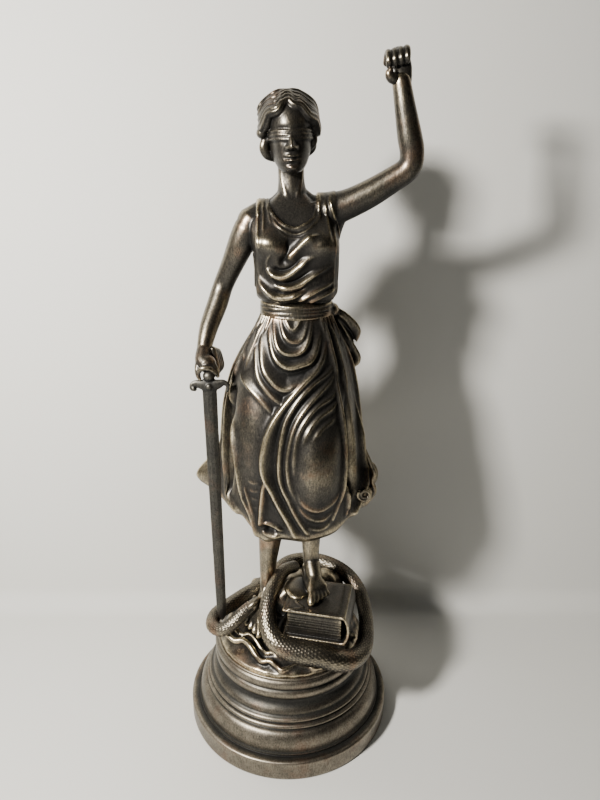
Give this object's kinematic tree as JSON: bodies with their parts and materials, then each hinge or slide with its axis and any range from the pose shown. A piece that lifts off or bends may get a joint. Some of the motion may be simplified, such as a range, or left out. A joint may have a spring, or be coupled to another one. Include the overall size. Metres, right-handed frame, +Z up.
{
  "type": "figurine",
  "caption": "Blindfolded lady of justice, one arm raised, sword point down, on a book and a snake over a round stepped plinth; her scales are missing",
  "frame": {"origin": "centre of the plinth's round underside, on the surface it stands on", "axes": "+Z up through the plinth, -Y the way the figure faces, +X towards her raised left arm"},
  "size_m": [0.1136, 0.112, 0.3403],
  "materials": {
    "figure_bronze": "cast resin with a near-black bronze coat, rubbed to gold and copper on raised folds and edges",
    "plinth_bronze": "cast resin with a near-black bronze coat, rubbed to copper and gold along the turned edges",
    "sword_grey": "cast resin with a dark grey metallic coat, rubbed to copper in places"
  },
  "bodies": {
    "root": {"figure": "figure_bronze", "plinth": "plinth_bronze", "sword": "sword_grey"}
  },
  "joints": []
}
